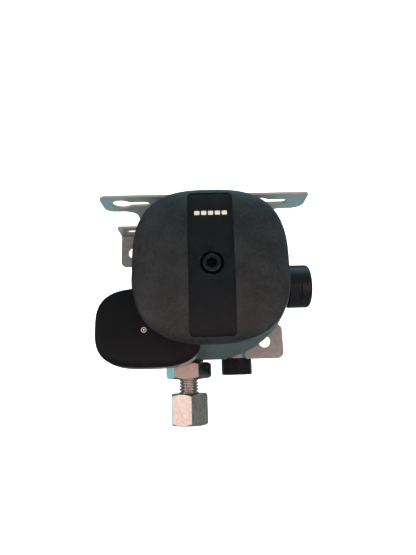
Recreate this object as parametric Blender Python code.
"""Wall-mounted gas pressure regulator with a crash sensor pod, on a bent steel bracket.

Origin on the rear face of the bracket's back plate, level with the regulator's own axis.
+Y points into the wall, the round cover faces -Y, +Z is up. Dimensions below are in millimetres.
"""

import math

import bmesh
import bpy
from mathutils import Matrix, Vector

MM = 0.001
GAP = 0.3
FINE, MEDIUM, SMALL, TINY = 40, 20, 12, 8  # sides of a turned shape, by its size

# Bracket sheet
SHEET = 1.5
FLANGE_UNDERSIDE = 46.3
FLANGE_TOP = FLANGE_UNDERSIDE + SHEET
FLANGE_FRONT = -73.5
EAR_BACK = -51.5
TAB_FRONT = -20.5
FLANGE_LEFT, FLANGE_RIGHT = -65.0, 58.7
NECK_LEFT, NECK_RIGHT = -46.0, 40.0
PLATE_RIGHT = 47.0
PLATE_BOTTOM = -46.3
KEYHOLE_Y = -63.0
KEYHOLE_LARGE_R, KEYHOLE_SMALL_R = 5.8, 3.1
KEYHOLE_X = ((-53.0, -39.0), (30.3, 44.1))
WALL_HOLE_R = 4.1
WALL_HOLES = ((-55.5, 33.3), (38.1, -34.4))
TAB_SLOT_X, TAB_SLOT_Y, TAB_SLOT_R = (-56.3, -48.0), -11.5, 2.8

# Regulator housings, turned about the Y axis
RIM_R = 48.2
SPLIT_Y = -55.4
RIM_BACK = -50.0
CASING_BACK = -24.0
CASING_TOP_FLAT = 45.9
CONE_FOOT_Y, CONE_FOOT_R = -61.0, 47.2
CONE_TOP_Y, CONE_TOP_R = -77.6, 38.6
BONNET_FRONT = -79.5
TUBE_R, TUBE_BORE_R, TUBE_FRONT = 14.0, 11.2, -87.0
CASING_SCREW_R = 44.4
CASING_SCREW_ANGLES = (45, 135, 225, 315)
SPACER_X, SPACER_Z, SPACER_R = 17.0, 17.0, 5.4

# Front cover
COVER_HALF = (40.6, 41.3)
COVER_POWER = 2.8
COVER_FRONT = -97.5
COVER_BACK = -79.8
COVER_WALL = 2.2
STRIP_HALF_WIDTH, STRIP_HALF_HEIGHT, STRIP_DEPTH = 11.5, 37.0, 0.7
COUNTERBORE_R, COUNTERBORE_FLOOR = 6.2, -91.6

# Gas inlet, along +X
INLET_Y, INLET_Z = -43.0, -3.1
INLET_BOSS_END = 47.6
NIPPLE_END = 58.0
NOZZLE_TIP = 27.2
CAP_R, CAP_START, CAP_END = 13.2, 50.3, 61.0

# Gas outlet, along -Z
OUTLET_X, OUTLET_Y = -14.8, -40.5
HEX_AF, HEX_TOP, HEX_BOTTOM, HEX_TURN = 24.0, -48.5, -58.0, -4.0
STUD_R, STUD_END = 6.0, -69.6
NUT_AF, NUT_TOP, NUT_BOTTOM, NUT_TURN = 21.0, -66.6, -84.5, 8.0
PIPE_R = 4.3

# Test port, along -Z
TEST_X, TEST_Y = 14.6, -40.0
TEST_CAP_R, TEST_CAP_TOP, TEST_CAP_BOTTOM = 9.3, -47.2, -56.5

# Valve train
LEVER_X, LEVER_Y, LEVER_LONG, LEVER_SHORT = 17.0, -38.0, 17.0, 5.0
STEM_R = 3.0

# Crash sensor pod
POD_X, POD_Z = -35.1, -29.4
POD_HALF = (29.6, 21.9)
POD_POWER = 3.0
POD_FRONT, POD_COVER_BACK = -75.5, -66.0
SENSOR_BODY_BACK = -34.0
BUTTON_Y, BUTTON_Z = -48.0, -29.4
BUTTON_FACE, BUTTON_FLANGE, BUTTON_SEAT = -64.9, -59.3, -54.2
BALL_X, BALL_Y, BALL_Z, BALL_R = -45.5, -50.0, -37.0, 5.0
SLIDE_Y, SLIDE_Z, SLIDE_HEAD = -43.0, -20.0, -53.2
PAD_SCREWS = ((-47.5, -27.0), (-44.0, -40.0))

AXIS_VECTORS = {"X": Vector((1, 0, 0)), "Y": Vector((0, 1, 0)), "Z": Vector((0, 0, 1))}


def clear_scene():
    for obj in list(bpy.data.objects):
        bpy.data.objects.remove(obj, do_unlink=True)


def make_material(name, colour, roughness, metallic):
    """A Principled material with one colour."""
    material = bpy.data.materials.new(name)
    material.use_nodes = True
    shader = material.node_tree.nodes["Principled BSDF"]
    shader.inputs["Base Color"].default_value = (*colour, 1)
    shader.inputs["Roughness"].default_value = roughness
    shader.inputs["Metallic"].default_value = metallic
    return material


def to_object(name, bm, smooth=True):
    """Closes up a bmesh, points its faces out and links it as an object."""
    bmesh.ops.remove_doubles(bm, verts=bm.verts, dist=1e-7)
    bmesh.ops.recalc_face_normals(bm, faces=bm.faces)
    mesh = bpy.data.meshes.new(name)
    bm.to_mesh(mesh)
    bm.free()
    if smooth:
        mesh.shade_smooth()
        mesh.set_sharp_from_angle(angle=math.radians(35))
    obj = bpy.data.objects.new(name, mesh)
    bpy.context.scene.collection.objects.link(obj)
    return obj


def as_cutter(obj):
    obj.hide_render = True
    obj.display_type = "WIRE"
    return obj


def boolean(target, tool, operation, solver="EXACT"):
    modifier = target.modifiers.new(tool.name, "BOOLEAN")
    modifier.operation = operation
    modifier.solver = solver
    modifier.object = as_cutter(tool)
    return target


def cut(target, *tools, solver="EXACT"):
    for tool in tools:
        boolean(target, tool, "DIFFERENCE", solver)
    return target


def add(target, *tools, solver="EXACT"):
    for tool in tools:
        boolean(target, tool, "UNION", solver)
    return target


def placed(axis, along, across, up):
    """A point from its place along an axis and its two other coordinates, in metres."""
    point = {"X": (along, across, up), "Y": (across, along, up), "Z": (across, up, along)}[axis]
    return Vector(point) * MM


def turned(name, profile, axis="Y", centre=(0, 0), sides=MEDIUM, turn=0.0):
    """A turned solid. The profile holds (place along the axis, radius) and ends on the axis or closes."""
    bm = bmesh.new()
    points = [bm.verts.new(placed(axis, along, centre[0], centre[1] + radius)) for along, radius in profile]
    edges = [bm.edges.new(pair) for pair in zip(points, points[1:])]
    if profile[0][1] > 0:
        edges.append(bm.edges.new((points[-1], points[0])))
    middle = placed(axis, 0, *centre)
    vector = AXIS_VECTORS[axis]
    if turn:
        spin = Matrix.Rotation(math.radians(turn), 3, vector)
        bmesh.ops.rotate(bm, verts=bm.verts, cent=middle, matrix=spin)
    bmesh.ops.spin(
        bm, geom=points + edges, cent=middle, axis=vector, angle=math.tau, steps=sides, use_merge=True
    )
    return to_object(name, bm)


def cylinder(name, radius, low, high, axis="Y", centre=(0, 0), sides=SMALL, turn=0.0):
    profile = ((low, 0), (low, radius), (high, radius), (high, 0))
    return turned(name, profile, axis, centre, sides, turn)


def tube(name, outer, inner, low, high, axis="Y", centre=(0, 0), sides=MEDIUM):
    profile = ((low, inner), (low, outer), (high, outer), (high, inner))
    return turned(name, profile, axis, centre, sides)


def rounded(corners, steps=4):
    """An outline whose corners (x, y, radius) are turned into arcs."""
    outline = []
    for i, (x, y, radius) in enumerate(corners):
        corner = Vector((x, y))
        if not radius:
            outline.append(corner)
            continue
        before = (Vector(corners[i - 1][:2]) - corner).normalized()
        after = (Vector(corners[(i + 1) % len(corners)][:2]) - corner).normalized()
        half = before.angle(after) / 2
        middle = corner + (before + after).normalized() * (radius / math.sin(half))
        start = corner + before * (radius / math.tan(half)) - middle
        sweep = (after * (radius / math.tan(half)) + corner - middle).angle_signed(start)
        outline += [middle + Matrix.Rotation(sweep * k / steps, 2) @ start for k in range(steps + 1)]
    return [tuple(point) for point in outline]


def squircle(half, power, count=FINE, centre=(0, 0), scale=1.0):
    """A rounded square: |x/a|^p + |y/b|^p = 1."""
    outline = []
    for k in range(count):
        angle = math.tau * k / count
        reach = (abs(math.cos(angle)) ** power + abs(math.sin(angle)) ** power) ** (-1 / power) * scale
        outline.append(
            (centre[0] + half[0] * reach * math.cos(angle), centre[1] + half[1] * reach * math.sin(angle))
        )
    return outline


def stadium(ends, centre_y, radius, steps=8):
    """A slot's outline between two round ends."""
    outline = []
    for x, start in ((ends[1], -90), (ends[0], 90)):
        for k in range(steps + 1):
            angle = math.radians(start + 180 * k / steps)
            outline.append((x + radius * math.cos(angle), centre_y + radius * math.sin(angle)))
    return outline


def prism(name, outline, axis, low, high):
    """An outline extruded along an axis: its points are (x, z) on Y, (x, y) on Z and (y, z) on X."""
    bm = bmesh.new()
    face = bm.faces.new([bm.verts.new(placed(axis, low, *point)) for point in outline])
    grown = bmesh.ops.extrude_face_region(bm, geom=[face])["geom"]
    moved = [item for item in grown if isinstance(item, bmesh.types.BMVert)]
    bmesh.ops.translate(bm, verts=moved, vec=AXIS_VECTORS[axis] * (high - low) * MM)
    return to_object(name, bm)


def box(name, low, high):
    outline = ((low[0], low[2]), (high[0], low[2]), (high[0], high[2]), (low[0], high[2]))
    return prism(name, outline, "Y", low[1], high[1])


def lofted(name, rings):
    """Rings of equally many points, given as (y, outline), joined in turn and capped at both ends."""
    bm = bmesh.new()
    loops = []
    for y, outline in rings:
        loops.append([bm.verts.new(placed("Y", y, *point)) for point in outline])
    for loop, following in zip(loops, loops[1:]):
        for k in range(len(loop)):
            nxt = (k + 1) % len(loop)
            bm.faces.new((loop[k], loop[nxt], following[nxt], following[k]))
    bm.faces.new(loops[0])
    bm.faces.new(loops[-1])
    return to_object(name, bm)


def coil(name, radius, wire, turns, low, high, axis, centre):
    """A compression spring: a round wire along a helix with closed flat turns at both ends."""
    curve = bpy.data.curves.new(name, "CURVE")
    curve.dimensions = "3D"
    curve.bevel_depth = wire / 2 * MM
    curve.bevel_resolution = 0
    curve.use_fill_caps = True
    per_turn = 8
    dead = 1.0
    count = int(per_turn * (turns + 2 * dead)) + 1
    spline = curve.splines.new("POLY")
    spline.points.add(count - 1)
    pitch_low, pitch_high = low + wire * 1.7, high - wire * 1.7
    for k in range(count):
        turn = k / per_turn
        if turn < dead:
            along = low + wire * 0.55 + turn / dead * (pitch_low - low - wire * 0.55)
        elif turn > turns + dead:
            rest = (turn - turns - dead) / dead
            along = pitch_high + rest * (high - wire * 0.55 - pitch_high)
        else:
            along = pitch_low + (turn - dead) / turns * (pitch_high - pitch_low)
        angle = math.tau * turn
        across = centre[0] + radius * math.cos(angle)
        up = centre[1] + radius * math.sin(angle)
        spline.points[k].co = (*placed(axis, along, across, up), 1)
    obj = bpy.data.objects.new(name, curve)
    bpy.context.scene.collection.objects.link(obj)
    return obj


def place_origin(obj, point):
    """Moves an object's origin to a joint's axis without moving its shape."""
    place = Vector(point) * MM
    if obj.type == "MESH":
        obj.data.transform(Matrix.Translation(-place))
        obj.location = place
        return obj
    holder = bpy.data.objects.new(obj.name + "_axis", None)
    bpy.context.scene.collection.objects.link(holder)
    holder.location = place
    obj.parent = holder
    obj.matrix_parent_inverse = Matrix.Translation(-place)
    return obj


def hexagon_radius(across_flats):
    return across_flats / math.sqrt(3)


def wall_bracket():
    """One bent sheet: a flange with two eared keyhole slots over a back plate with two lobes."""
    flange = rounded(
        (
            (FLANGE_LEFT, FLANGE_FRONT, 2.5),
            (FLANGE_RIGHT, FLANGE_FRONT, 2.5),
            (FLANGE_RIGHT, EAR_BACK, 8),
            (NECK_RIGHT, EAR_BACK, 5),
            (NECK_RIGHT, TAB_FRONT, 3),
            (PLATE_RIGHT, TAB_FRONT, 3),
            (PLATE_RIGHT, -3.2, 0),
            (FLANGE_LEFT, -3.2, 0),
            (FLANGE_LEFT, TAB_FRONT, 2.5),
            (NECK_LEFT, TAB_FRONT, 3),
            (NECK_LEFT, EAR_BACK, 8),
            (FLANGE_LEFT, EAR_BACK, 3),
        )
    )
    plate = rounded(
        (
            (FLANGE_LEFT, FLANGE_TOP - 3.2, 0),
            (FLANGE_LEFT, 22.7, 4),
            (-42, 22.7, 6),
            (-34, -8, 8),
            (-24, -34, 8),
            (-20, PLATE_BOTTOM, 6),
            (51.4, PLATE_BOTTOM, 4.5),
            (51.0, -24.5, 3),
            (46.2, -20.0, 5),
            (PLATE_RIGHT, FLANGE_TOP - 3.2, 0),
        )
    )
    outer, inner = 3.2, 3.2 - SHEET
    bend = [(-outer, FLANGE_TOP), (-outer, FLANGE_UNDERSIDE)]
    bend += [
        (-outer + inner * math.sin(a), FLANGE_TOP - outer + inner * math.cos(a))
        for a in (math.radians(18 * k) for k in range(6))
    ]
    bend += [
        (-outer + outer * math.cos(a), FLANGE_TOP - outer + outer * math.sin(a))
        for a in (math.radians(18 * k) for k in range(5))
    ]
    obj = prism("wall_bracket", flange, "Z", FLANGE_UNDERSIDE, FLANGE_TOP)
    add(
        obj,
        prism("bracket_plate", plate, "Y", -SHEET, 0),
        prism("bracket_bend", bend, "X", FLANGE_LEFT, PLATE_RIGHT),
    )
    for k, (large, small) in enumerate(KEYHOLE_X):
        slot = stadium((large, small), KEYHOLE_Y, KEYHOLE_SMALL_R)
        cut(
            obj,
            cylinder(f"keyhole_{k}", KEYHOLE_LARGE_R, 40, 55, "Z", (large, KEYHOLE_Y)),
            prism(f"keyhole_slot_{k}", slot, "Z", 40, 55),
        )
    cut(obj, prism("tab_slot", stadium(TAB_SLOT_X, TAB_SLOT_Y, TAB_SLOT_R), "Z", 40, 55))
    for k, centre in enumerate(WALL_HOLES):
        cut(obj, cylinder(f"wall_hole_{k}", WALL_HOLE_R, -5, 5, "Y", centre))
    for k, centre in enumerate(spacers()):
        sink = ((-3, 0), (-3, 2.3), (-1.9, 2.3), (0.4, 4.6), (1, 4.6), (1, 0))
        cut(obj, turned(f"plate_sink_{k}", sink, "Y", centre, SMALL))
    return obj


def spacers():
    return [(x, z) for x in (-SPACER_X, SPACER_X) for z in (-SPACER_Z, SPACER_Z)]


def bracket_spacer(name, centre):
    """Turned sleeve that holds the regulator off the back plate."""
    low, high = CASING_BACK + GAP, -SHEET - GAP
    profile = (
        (low, 2.3),
        (low, SPACER_R - 0.4),
        (low + 0.4, SPACER_R),
        (high - 0.4, SPACER_R),
        (high, SPACER_R - 0.4),
        (high, 3.6),
        (high - 1.3, 2.3),
    )
    return turned(name, profile, "Y", centre, SMALL)


def bracket_screw(name, centre):
    """Countersunk screw, flush with the back plate's rear face, through a spacer into the casing."""
    profile = ((-28, 0), (-28, 1.5), (-27.5, 2), (-1.9, 2), (-0.2, 3.7), (-0.1, 3.7), (-0.1, 0))
    obj = turned(name, profile, "Y", centre, SMALL)
    return cut(obj, cylinder(name + "_key", 1.45, -1.6, 1, "Y", centre, 6))


def casing_screws():
    places = []
    for angle in map(math.radians, CASING_SCREW_ANGLES):
        places.append((CASING_SCREW_R * math.cos(angle), CASING_SCREW_R * math.sin(angle)))
    return places


def casing_screw(name, centre):
    """A cylinder-head screw put in from behind, through the rim of the lower casing."""
    profile = ((-59.4, 0), (-59.4, 1.6), (-59, 2), (-49.7, 2), (-49.7, 3.4), (-46.4, 3.4), (-46, 3), (-46, 0))
    obj = turned(name, profile, "Y", centre, SMALL)
    return cut(obj, cylinder(name + "_key", 1.7, -48.4, -44, "Y", centre, 6))


def top_flat(name):
    return box(name, (-60, -90, CASING_TOP_FLAT), (60, -20, 60))


def lower_casing():
    """Die-cast bowl with the inlet, outlet and test bosses and the lever lugs."""
    profile = (
        (CASING_BACK, 0),
        (CASING_BACK, 31),
        (-36, 39),
        (RIM_BACK, 40.5),
        (RIM_BACK, RIM_R),
        (SPLIT_Y, RIM_R),
        (SPLIT_Y, 37.2),
        (-38, 36),
        (-29.5, 29),
        (-29.5, 0),
    )
    obj = turned("lower_casing", profile, sides=FINE)
    add(
        obj,
        cylinder("inlet_boss", 11.5, 29, INLET_BOSS_END + 0.9, "X", (INLET_Y, INLET_Z), MEDIUM),
        cylinder("outlet_boss", 9.6, HEX_TOP + 1.6, -33, "Z", (OUTLET_X, OUTLET_Y), MEDIUM),
        cylinder("test_boss", 6.6, TEST_CAP_TOP + 0.6, -33, "Z", (TEST_X, TEST_Y), MEDIUM),
        box("lever_lug_low", (13.4, -41.2, -9.4), (20.6, -26, -6.2)),
        box("lever_lug_high", (13.4, -41.2, 0), (20.6, -26, 3.2)),
        box("plunger_guide", (21.2, -47.5, -7.4), (23.4, -26, 1.2)),
        prism(
            "sensor_pad",
            rounded(((-56, -44, 4), (-37, -44, 4), (-22, -30, 4), (-22, -17, 4), (-56, -17, 4))),
            "Y",
            SENSOR_BODY_BACK + GAP,
            -29,
        ),
        solver="MANIFOLD",
    )
    holes = [cylinder(f"spacer_hole_{k}", 2.3, -28.4, -20, "Y", c, SMALL) for k, c in enumerate(spacers())]
    holes += [cylinder(f"rim_hole_{k}", 2.3, -60, -45, "Y", c, TINY) for k, c in enumerate(casing_screws())]
    holes += [cylinder(f"pad_hole_{k}", 2.3, -36, -25, "Y", c, TINY) for k, c in enumerate(PAD_SCREWS)]
    cut(
        obj,
        *holes,
        cylinder("inlet_bore", 8.3, 26, 50, "X", (INLET_Y, INLET_Z), MEDIUM),
        cylinder("inlet_spot_face", 12.4, INLET_BOSS_END, 60, "X", (INLET_Y, INLET_Z), MEDIUM),
        cylinder("outlet_bore", 5.3, -50, -30, "Z", (OUTLET_X, OUTLET_Y), SMALL),
        cylinder("test_bore", 4.3, -50, -30, "Z", (TEST_X, TEST_Y), SMALL),
        cylinder("pin_bore", 1.8, -9.8, 4, "Z", (LEVER_X, LEVER_Y), TINY),
        cylinder("plunger_bore", 2.3, 20, 25, "X", (INLET_Y, INLET_Z), TINY),
        cylinder("slide_bore", 1.8, -50, -28, "X", (SLIDE_Y, SLIDE_Z), TINY),
        top_flat("lower_flat"),
        solver="MANIFOLD",
    )
    return obj


def bonnet_profile(clearance=0.0):
    """The bonnet's outer cone, from its rim forward, with a clearance all round."""
    return (
        (-44.0 if clearance else SPLIT_Y - GAP, RIM_R + clearance),
        (-59.4, RIM_R + clearance),
        (CONE_FOOT_Y, CONE_FOOT_R + clearance),
        (CONE_TOP_Y, CONE_TOP_R + clearance),
        (BONNET_FRONT, CONE_TOP_R - 0.8 + clearance),
    )


def bonnet_casing():
    """Die-cast cone over the diaphragm, with a tube for the setting spring and a plate for the cover."""
    inner = (
        (BONNET_FRONT, TUBE_R),
        (TUBE_FRONT, TUBE_R),
        (TUBE_FRONT, TUBE_BORE_R),
        (-77, TUBE_BORE_R),
        (-76.9, 34.5),
        (-62, 41.6),
        (-57, 41.6),
        (-57, 42.4),
        (SPLIT_Y - GAP, 42.4),
    )
    obj = turned("bonnet_casing", bonnet_profile() + inner, sides=FINE)
    half = (COVER_HALF[0] - 1.2, COVER_HALF[1] - 1.2)
    plate = prism("cover_plate", squircle(half, COVER_POWER), "Y", BONNET_FRONT + 0.1, -77.7)
    hollow = cylinder("cover_plate_bore", 34, -80, -76.5, sides=FINE)
    add(obj, cut(plate, hollow))
    for k, centre in enumerate(casing_screws()):
        cut(obj, cylinder(f"bonnet_hole_{k}", 2.3, -60, -50, "Y", centre, TINY))
    cut(
        obj,
        cylinder("vent_bore", 3.3, 30, 50, "Z", (0, -68), SMALL),
        cylinder("vent_seat", 5.0, 42.6, 50, "Z", (0, -68), SMALL),
        top_flat("bonnet_flat"),
    )
    return obj


def vent_plug():
    profile = ((37.5, 0), (37.5, 3), (42.9, 3), (42.9, 4.6), (44.4, 4.6), (45, 4), (45, 0))
    obj = turned("vent_plug", profile, "Z", (0, -68), SMALL)
    return cut(obj, cylinder("vent_hole", 0.8, 30, 50, "Z", (0, -68), 8))


def dome_rings(inset=0.0, deeper=0.0):
    """Rings of the cover's crowned face, from its middle out to its side wall."""
    steps = ((0.12, 0.0), (0.35, 0.4), (0.6, 1.4), (0.83, 3.0), (0.95, 4.6), (0.99, 5.9), (1.0, 7.4))
    half = (COVER_HALF[0] - inset, COVER_HALF[1] - inset)
    return [
        (COVER_FRONT + drop + deeper, squircle(half, 2 + (COVER_POWER - 2) * scale**2, scale=scale))
        for scale, drop in steps
    ]


def main_cover():
    """Crowned rounded-square cover: a shell with a middle post, a shallow strip and a screw counterbore."""
    outside = dome_rings()
    inside = dome_rings(COVER_WALL, COVER_WALL)[::2]
    half_in = (COVER_HALF[0] - COVER_WALL, COVER_HALF[1] - COVER_WALL)
    rim = [(COVER_BACK, squircle(COVER_HALF, COVER_POWER)), (COVER_BACK, squircle(half_in, COVER_POWER))]
    obj = lofted("main_cover", outside + rim + inside[::-1])
    add(obj, cylinder("cover_post", 9.5, -95.9, -89.4, sides=MEDIUM))
    below = dome_rings(0.0, STRIP_DEPTH)
    keep = lofted("strip_floor", below + [(-80, squircle(COVER_HALF, COVER_POWER))])
    w, h = STRIP_HALF_WIDTH, STRIP_HALF_HEIGHT
    strip = prism("strip_cutter", rounded(((-w, -h, 2), (w, -h, 2), (w, h, 2), (-w, h, 2))), "Y", -100, -90)
    cut(
        obj,
        cut(strip, keep),
        cylinder("cover_counterbore", COUNTERBORE_R, -100, COUNTERBORE_FLOOR, sides=MEDIUM),
        cylinder("cover_screw_hole", 3.4, -100, -80, sides=MEDIUM),
    )
    return obj


def cover_screw():
    """M6 cylinder-head screw with a 5 mm hexagon socket."""
    profile = ((-96.9, 0), (-96.9, 4.6), (-96.5, 5), (-91.9, 5), (-91.9, 3), (-82.6, 3), (-82, 2.4), (-82, 0))
    obj = turned("cover_screw", profile, sides=MEDIUM)
    return cut(obj, cylinder("screw_socket", hexagon_radius(5), -99, -93.4, sides=6))


def adjuster_cap():
    """Plug that closes the spring tube and takes the cover screw."""
    profile = ((-89.1, 3.3), (-89.1, 13), (-87.3, 13), (-87.3, 10.9), (-81, 10.9), (-81, 3.3))
    return turned("adjuster_cap", profile, sides=MEDIUM)


def spring_adjuster():
    """Threaded disc that sets the spring's load."""
    obj = tube("spring_adjuster", 10.9, 4, -80.4, -77.4, sides=MEDIUM)
    slots = [box("adjuster_slot", (-7, -82, -1), (7, -79.4, 1))]
    return cut(obj, *slots)


def diaphragm():
    profile = (
        (-56.6, 3.5),
        (-56.6, 28),
        (-59.3, 30.5),
        (-59.3, 34.5),
        (-56.6, 37),
        (-56.6, 42),
        (-55.7, 42),
        (-55.7, 36.5),
        (-58.3, 34.2),
        (-58.3, 30.8),
        (-55.7, 28.4),
        (-55.7, 3.5),
    )
    return turned("diaphragm", profile, sides=30)


def front_plate():
    """Pressed plate over the diaphragm, dished at its edge, that the setting spring bears on."""
    profile = ((-58.2, 3.4), (-58.2, 24.4), (-60.4, 25.4), (-60.4, 26.5), (-56.9, 26.5), (-56.9, 3.4))
    return turned("diaphragm_front_plate", profile, sides=36)


def rear_plate():
    return tube("diaphragm_rear_plate", 26.5, 3.4, -55.4, -54.2, sides=36)


def diaphragm_stem():
    """Stem from the diaphragm to the lever, with an eye that the lever's long arm passes through."""
    profile = ((-63, 0), (-63, 2.6), (-62.6, STEM_R), (-53.9, STEM_R), (-53.9, 6), (-52.4, 6), (-52.4, STEM_R))
    obj = turned("diaphragm_stem", profile + ((-41, STEM_R), (-41, 0)), sides=SMALL)
    add(obj, box("stem_eye", (-4, -43, INLET_Z - 5), (4, -32.5, INLET_Z + 5.4)))
    return cut(obj, box("stem_slot", (-6, -39.9, INLET_Z - 3.2), (6, -36.1, INLET_Z + 3.2)))


def stem_nut():
    obj = cylinder("stem_nut", hexagon_radius(10), -61.6, -58.5, sides=6)
    return cut(obj, cylinder("stem_nut_bore", 3.3, -64, -56, sides=SMALL))


def setting_spring():
    return coil("setting_spring", 9.4, 1.8, 4.5, -77.3, -58.3, "Y", (0, 0))


def valve_lever():
    """Bell crank: the stem lifts its long arm, and its short arm pushes the valve plunger."""
    low, high = INLET_Z - 2.5, INLET_Z + 2.5
    near, far = LEVER_Y - 1, LEVER_Y + 1
    arm = rounded(((-3, near, 0.9), (LEVER_X, near, 0), (LEVER_X, far, 0), (-3, far, 0.9)))
    obj = prism("valve_lever", arm, "Z", low, high)
    tip = LEVER_Y - LEVER_SHORT - 0.8
    short = rounded(
        (
            (LEVER_X - 1, tip, 0.9),
            (LEVER_X + 1, tip, 0.9),
            (LEVER_X + 1, LEVER_Y, 0),
            (LEVER_X - 1, LEVER_Y, 0),
        )
    )
    add(
        obj,
        prism("lever_short_arm", short, "Z", low + 0.01, high - 0.01),
        cylinder("lever_hub", 3.1, low - 0.01, high + 0.01, "Z", (LEVER_X, LEVER_Y), SMALL),
    )
    return cut(obj, cylinder("lever_bore", 1.8, -20, 20, "Z", (LEVER_X, LEVER_Y), TINY))


def lever_pin():
    return cylinder("lever_pin", 1.5, -9.4, 3.2, "Z", (LEVER_X, LEVER_Y), TINY)


def valve_plunger():
    start = LEVER_X + 1 + GAP
    profile = ((start, 0), (start, 2), (23.7, 2), (23.7, 4.6), (25.9, 4.6))
    profile += ((25.9, 3.7), (24.9, 3.7), (24.9, 0))
    return turned("valve_plunger", profile, "X", (INLET_Y, INLET_Z), SMALL)


def valve_pad():
    return cylinder("valve_pad", 3.4, 25.2, 26.3, "X", (INLET_Y, INLET_Z), SMALL)


def inlet_nipple():
    """Screwed-in inlet connector: thread outside, filter bore inside, valve nozzle at its inner end."""
    profile = (
        (NOZZLE_TIP, 1.8),
        (NOZZLE_TIP, 2.6),
        (29, 4.4),
        (31, 4.4),
        (31, 8),
        (INLET_BOSS_END + 1.2, 8),
        (INLET_BOSS_END + 1.2, 11.4),
        (CAP_START - GAP, 11.4),
        (CAP_START - GAP, 9.9),
        (57.2, 9.9),
        (NIPPLE_END, 9.1),
        (NIPPLE_END, 5.2),
        (42, 5.2),
        (42, 1.8),
    )
    return turned("inlet_nipple", profile, "X", (INLET_Y, INLET_Z), MEDIUM)


def inlet_seal():
    start = INLET_BOSS_END + GAP
    return tube("inlet_seal", 10.9, 8.4, start, start + 0.6, "X", (INLET_Y, INLET_Z), MEDIUM)


def gas_filter():
    return cylinder("gas_filter", 4.8, 42.4, 44.4, "X", (INLET_Y, INLET_Z), SMALL)


def inlet_cap():
    """Push-on protective cap: round outside, with two flats near its open end."""
    profile = (
        (CAP_START, 10.3),
        (CAP_START, CAP_R - 0.4),
        (CAP_START + 0.5, CAP_R),
        (CAP_END - 2.6, CAP_R),
        (CAP_END - 1, CAP_R - 0.9),
        (CAP_END, CAP_R - 3),
        (CAP_END, 0),
        (NIPPLE_END + 0.6, 0),
        (NIPPLE_END + 0.6, 10.3),
    )
    return turned("inlet_cap", profile, "X", (INLET_Y, INLET_Z), MEDIUM)


def outlet_adaptor():
    """Hexagon body with an inner thread end into the casing and an outer stud."""
    centre = (OUTLET_X, OUTLET_Y)
    corner = hexagon_radius(HEX_AF)
    obj = cylinder("outlet_adaptor", corner, HEX_BOTTOM, HEX_TOP, "Z", centre, 6, HEX_TURN + 30)
    chamfer = (
        (HEX_BOTTOM - 1, 0),
        (HEX_BOTTOM - 1, 11),
        (HEX_BOTTOM + 1, 14.2),
        (HEX_TOP - 1, 14.2),
        (HEX_TOP + 1, 11),
        (HEX_TOP + 1, 0),
    )
    boolean(obj, turned("adaptor_chamfer", chamfer, "Z", centre, MEDIUM), "INTERSECT")
    add(
        obj,
        cylinder("adaptor_stud", STUD_R, STUD_END, HEX_BOTTOM + 1, "Z", centre, MEDIUM),
        cylinder("adaptor_shank", 5, HEX_TOP - 1, -36, "Z", centre, SMALL),
    )
    return cut(obj, cylinder("adaptor_bore", 3.2, -90, -20, "Z", centre, SMALL))


def outlet_washer():
    low = HEX_TOP + GAP
    return tube("outlet_washer", 9.2, 5.4, low, low + 1.0, "Z", (OUTLET_X, OUTLET_Y), MEDIUM)


def union_nut():
    """Union nut of a compression fitting, threaded above and coned inside below."""
    centre = (OUTLET_X, OUTLET_Y)
    obj = cylinder("union_nut", hexagon_radius(NUT_AF), NUT_BOTTOM, NUT_TOP, "Z", centre, 6, NUT_TURN)
    chamfer = (
        (NUT_BOTTOM - 1, 0),
        (NUT_BOTTOM - 1, 9.4),
        (NUT_BOTTOM + 1.1, 12.4),
        (NUT_TOP - 1.1, 12.4),
        (NUT_TOP + 1, 9.4),
        (NUT_TOP + 1, 0),
    )
    boolean(obj, turned("nut_chamfer", chamfer, "Z", centre, MEDIUM), "INTERSECT")
    bore = (
        (NUT_BOTTOM - 2, 0),
        (NUT_BOTTOM - 2, PIPE_R),
        (NUT_BOTTOM + 4, PIPE_R),
        (NUT_BOTTOM + 6, 6.3),
        (NUT_TOP + 2, 6.3),
        (NUT_TOP + 2, 0),
    )
    return cut(obj, turned("nut_bore", bore, "Z", centre, MEDIUM))


def cutting_ring():
    low = NUT_BOTTOM + 5.0
    profile = (
        (low, PIPE_R),
        (low, 4.7),
        (low + 1.4, 5.9),
        (low + 2.6, 5.9),
        (low + 4.4, 4.9),
        (low + 4.4, PIPE_R),
    )
    return turned("cutting_ring", profile, "Z", (OUTLET_X, OUTLET_Y), SMALL)


def test_nipple():
    """Small threaded port for a test gauge."""
    profile = ((-54.4, 1.6), (-54.4, 3.6), (-53.8, 4), (-37, 4), (-37, 1.6))
    return turned("test_nipple", profile, "Z", (TEST_X, TEST_Y), SMALL)


def test_port_cap():
    profile = (
        (TEST_CAP_TOP, 4.4),
        (TEST_CAP_TOP, TEST_CAP_R - 0.4),
        (TEST_CAP_TOP - 0.5, TEST_CAP_R),
        (TEST_CAP_BOTTOM + 1.4, TEST_CAP_R),
        (TEST_CAP_BOTTOM + 0.4, TEST_CAP_R - 0.4),
        (TEST_CAP_BOTTOM, TEST_CAP_R - 1.2),
        (TEST_CAP_BOTTOM, 0),
        (-55.8, 0),
        (-55.8, 4.4),
    )
    return turned("test_port_cap", profile, "Z", (TEST_X, TEST_Y), MEDIUM)


def test_cap_washer():
    return tube("test_cap_washer", 4.1, 1.6, -55.6, -54.7, "Z", (TEST_X, TEST_Y), SMALL)


def pod_outline(inset=0.0, scale=1.0, power=POD_POWER):
    return squircle((POD_HALF[0] - inset, POD_HALF[1] - inset), power, FINE, (POD_X, POD_Z), scale)


def casing_clearance(name, clearance):
    """The regulator's round housing grown by a clearance, to shape what lies against it."""
    profile = ((-20, 0), (-20, RIM_R + clearance)) + bonnet_profile(clearance)[1:]
    return turned(name, profile + ((BONNET_FRONT, 0),), sides=FINE)


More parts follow.
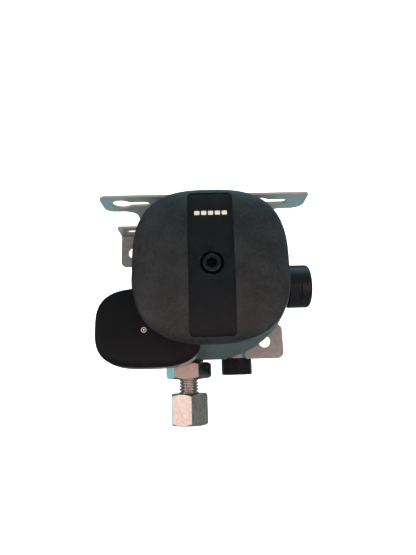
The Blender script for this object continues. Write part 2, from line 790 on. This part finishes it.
def sensor_cover():
    """Crowned plastic cover of the crash sensor, hollow behind, shaped round the bonnet's cone."""
    steps = ((0.2, 0.0), (0.6, 0.25), (0.85, 0.8), (0.95, 1.5), (0.99, 2.6), (1.0, 4.0))

    def dome(inset, deeper):
        return [
            (POD_FRONT + drop + deeper, pod_outline(inset, scale, 2 + (POD_POWER - 2) * scale**2))
            for scale, drop in steps
        ]

    rim = [(POD_COVER_BACK, pod_outline()), (POD_COVER_BACK, pod_outline(2.0))]
    obj = lofted("sensor_cover", dome(0, 0) + rim + dome(2.0, 2.0)[::-1])
    return cut(obj, casing_clearance("cover_relief", 0.5))


def sensor_body():
    """Die-cast box behind the sensor cover, open to the front, shaped round the regulator's rim."""
    front = POD_COVER_BACK + GAP
    obj = lofted(
        "sensor_body",
        [
            (front, pod_outline(0.6)),
            (-60, pod_outline(0.9)),
            (-42, pod_outline(1.6)),
            (SENSOR_BODY_BACK, pod_outline(3.0)),
        ],
    )
    lip = rounded(((-30, -49.8, 3), (-9, -50.6, 4), (0.5, -46.8, 3), (1.5, -40, 2), (-30, -40, 2)))
    add(obj, prism("body_lip", lip, "Y", front, -57))
    pocket = prism("body_pocket", pod_outline(3.6), "Y", front - 2, -38)
    pocket_limit = casing_clearance("pocket_limit", 3.6)
    cut(obj, cut(pocket, pocket_limit), casing_clearance("body_relief", 0.5))
    for k, centre in enumerate(PAD_SCREWS):
        add(obj, cylinder(f"pad_boss_{k}", 4.0, -42.0, -36, "Y", centre, TINY))
        cut(obj, cylinder(f"pad_thread_{k}", 2.3, -40.6, -30, "Y", centre, TINY))
    cut(
        obj,
        cylinder("outlet_relief", 15.4, -62, -25, "Z", (OUTLET_X, OUTLET_Y), MEDIUM),
        cylinder("body_slide_bore", 1.8, -55, -30, "X", (SLIDE_Y, SLIDE_Z), TINY),
        cylinder("button_bore", 3.6, -70, BUTTON_FLANGE, "X", (BUTTON_Y, BUTTON_Z), SMALL),
    )
    return obj


def sensor_screw(name, centre):
    """Screw from behind, through the casing's pad, into the sensor body."""
    profile = ((-39.8, 0), (-39.8, 2), (-28.7, 2), (-28.7, 3.5), (-25.6, 3.5), (-25.6, 0))
    obj = turned(name, profile, "Y", centre, SMALL)
    return cut(obj, cylinder(name + "_key", 1.7, -27.4, -20, "Y", centre, 6))


def sensor_cup():
    """Cup with a cone seat that the sensor's ball rests in."""
    seat = BALL_Z - BALL_R
    profile = (
        (seat - 3.4, 0),
        (seat - 3.4, 5.6),
        (seat + 2.2, 5.6),
        (seat + 2.2, 5.0),
        (seat - 0.7, 2.4),
        (seat - 0.7, 0),
    )
    return turned("sensor_cup", profile, "Z", (BALL_X, BALL_Y), SMALL)


def sensor_ball():
    bm = bmesh.new()
    place = Matrix.Translation(Vector((BALL_X, BALL_Y, BALL_Z + 0.6)) * MM)
    bmesh.ops.create_uvsphere(bm, u_segments=16, v_segments=10, radius=BALL_R * MM, matrix=place)
    return to_object("sensor_ball", bm)


def shutoff_slide():
    """Sprung rod that the sensor lets go: its blade slides in beside the stem and holds the valve shut."""
    head = SLIDE_HEAD
    profile = ((head, 0), (head, 3.2), (head + 1.2, 3.2), (head + 1.2, 1.5), (-14, 1.5), (-14, 0))
    obj = turned("shutoff_slide", profile, "X", (SLIDE_Y, SLIDE_Z), TINY)
    return add(obj, box("slide_blade", (-16, SLIDE_Y - 1.2, SLIDE_Z - 2), (-11, SLIDE_Y + 1.2, SLIDE_Z + 10)))


def shutoff_spring():
    return coil("shutoff_spring", 2.4, 0.6, 2, SLIDE_HEAD - 4.8, SLIDE_HEAD - 0.2, "X", (SLIDE_Y, SLIDE_Z))


def reset_spring():
    low, high = BUTTON_FLANGE + 1.2, BUTTON_SEAT - 0.2
    return coil("reset_spring", 2.6, 0.5, 1.5, low, high, "X", (BUTTON_Y, BUTTON_Z))


def reset_button():
    face, flange = BUTTON_FACE, BUTTON_FLANGE
    profile = ((face, 0), (face, 2.7), (face + 0.5, 3.2), (flange, 3.2), (flange, 4.6))
    profile += ((flange + 1, 4.6), (flange + 1, 0))
    return turned("reset_button", profile, "X", (BUTTON_Y, BUTTON_Z), SMALL)


def button_seat():
    """Guide behind the reset button: a peg for its spring on a foot in the pocket."""
    seat = BUTTON_SEAT
    profile = ((seat - 1, 0), (seat - 1, 1.4), (seat, 1.4), (seat, 3.4), (seat + 1, 3.4), (seat + 1, 0))
    obj = turned("button_seat", profile, "X", (BUTTON_Y, BUTTON_Z), SMALL)
    low, high = (seat + 0.1, -46, BUTTON_Z - 2), (seat + 0.9, -38.3, BUTTON_Z + 2)
    return add(obj, box("button_seat_foot", low, high))


MATERIALS = {
    "galvanised_steel": ((0.55, 0.56, 0.56), 0.45, 1.0),
    "die_cast_alloy": ((0.42, 0.44, 0.44), 0.5, 1.0),
    "black_plastic": ((0.02, 0.021, 0.022), 0.45, 0.0),
    "gloss_plastic": ((0.016, 0.017, 0.019), 0.25, 0.0),
    "black_steel": ((0.03, 0.03, 0.032), 0.3, 1.0),
    "zinc_steel": ((0.68, 0.67, 0.65), 0.3, 1.0),
    "bright_nut": ((0.76, 0.75, 0.74), 0.25, 1.0),
    "brass": ((0.73, 0.56, 0.27), 0.3, 1.0),
    "rubber": ((0.03, 0.03, 0.03), 0.75, 0.0),
    "spring_steel": ((0.5, 0.5, 0.52), 0.3, 1.0),
    "green_plastic": ((0.05, 0.35, 0.12), 0.4, 0.0),
    "sintered_bronze": ((0.55, 0.38, 0.2), 0.7, 1.0),
}


def build():
    clear_scene()
    pairs = [
        (wall_bracket(), "galvanised_steel"),
        (lower_casing(), "die_cast_alloy"),
        (bonnet_casing(), "die_cast_alloy"),
        (main_cover(), "black_plastic"),
        (cover_screw(), "black_steel"),
        (adjuster_cap(), "gloss_plastic"),
        (spring_adjuster(), "brass"),
        (setting_spring(), "spring_steel"),
        (diaphragm(), "rubber"),
        (front_plate(), "zinc_steel"),
        (rear_plate(), "zinc_steel"),
        (diaphragm_stem(), "brass"),
        (stem_nut(), "brass"),
        (valve_lever(), "zinc_steel"),
        (lever_pin(), "spring_steel"),
        (valve_plunger(), "brass"),
        (valve_pad(), "rubber"),
        (inlet_nipple(), "brass"),
        (inlet_seal(), "rubber"),
        (gas_filter(), "sintered_bronze"),
        (inlet_cap(), "gloss_plastic"),
        (outlet_adaptor(), "zinc_steel"),
        (outlet_washer(), "rubber"),
        (cutting_ring(), "brass"),
        (union_nut(), "bright_nut"),
        (test_nipple(), "brass"),
        (test_port_cap(), "gloss_plastic"),
        (test_cap_washer(), "rubber"),
        (vent_plug(), "gloss_plastic"),
        (sensor_body(), "die_cast_alloy"),
        (sensor_cover(), "gloss_plastic"),
        (sensor_cup(), "brass"),
        (sensor_ball(), "spring_steel"),
        (shutoff_slide(), "brass"),
        (shutoff_spring(), "spring_steel"),
        (reset_button(), "green_plastic"),
        (button_seat(), "brass"),
        (reset_spring(), "spring_steel"),
    ]
    for k, centre in enumerate(spacers(), 1):
        pairs.append((bracket_screw(f"bracket_screw_{k}", centre), "zinc_steel"))
        pairs.append((bracket_spacer(f"bracket_spacer_{k}", centre), "zinc_steel"))
    for k, centre in enumerate(casing_screws(), 1):
        pairs.append((casing_screw(f"casing_screw_{k}", centre), "zinc_steel"))
    for k, centre in enumerate(PAD_SCREWS, 1):
        pairs.append((sensor_screw(f"sensor_screw_{k}", centre), "zinc_steel"))
    made = {name: make_material(name, *values) for name, values in MATERIALS.items()}
    for obj, material in pairs:
        obj.data.materials.append(made[material])
    set_joint_origins({obj.name: obj for obj, _ in pairs})


def set_joint_origins(nodes):
    """Puts each moving piece's origin on the axis of its joint."""
    origins = {
        "valve_lever": (LEVER_X, LEVER_Y, INLET_Z),
        "inlet_cap": (CAP_START, INLET_Y, INLET_Z),
        "union_nut": (OUTLET_X, OUTLET_Y, NUT_TOP),
        "cutting_ring": (OUTLET_X, OUTLET_Y, NUT_TOP),
        "test_port_cap": (TEST_X, TEST_Y, TEST_CAP_TOP),
        "test_cap_washer": (TEST_X, TEST_Y, TEST_CAP_TOP),
        "reset_button": (-60, BUTTON_Y, BUTTON_Z),
        "sensor_ball": (BALL_X, BALL_Y, BALL_Z),
        "shutoff_slide": (SLIDE_HEAD, SLIDE_Y, SLIDE_Z),
        "valve_plunger": (LEVER_X + 1, INLET_Y, INLET_Z),
        "valve_pad": (LEVER_X + 1, INLET_Y, INLET_Z),
    }
    for name, point in origins.items():
        place_origin(nodes[name], point)


build()
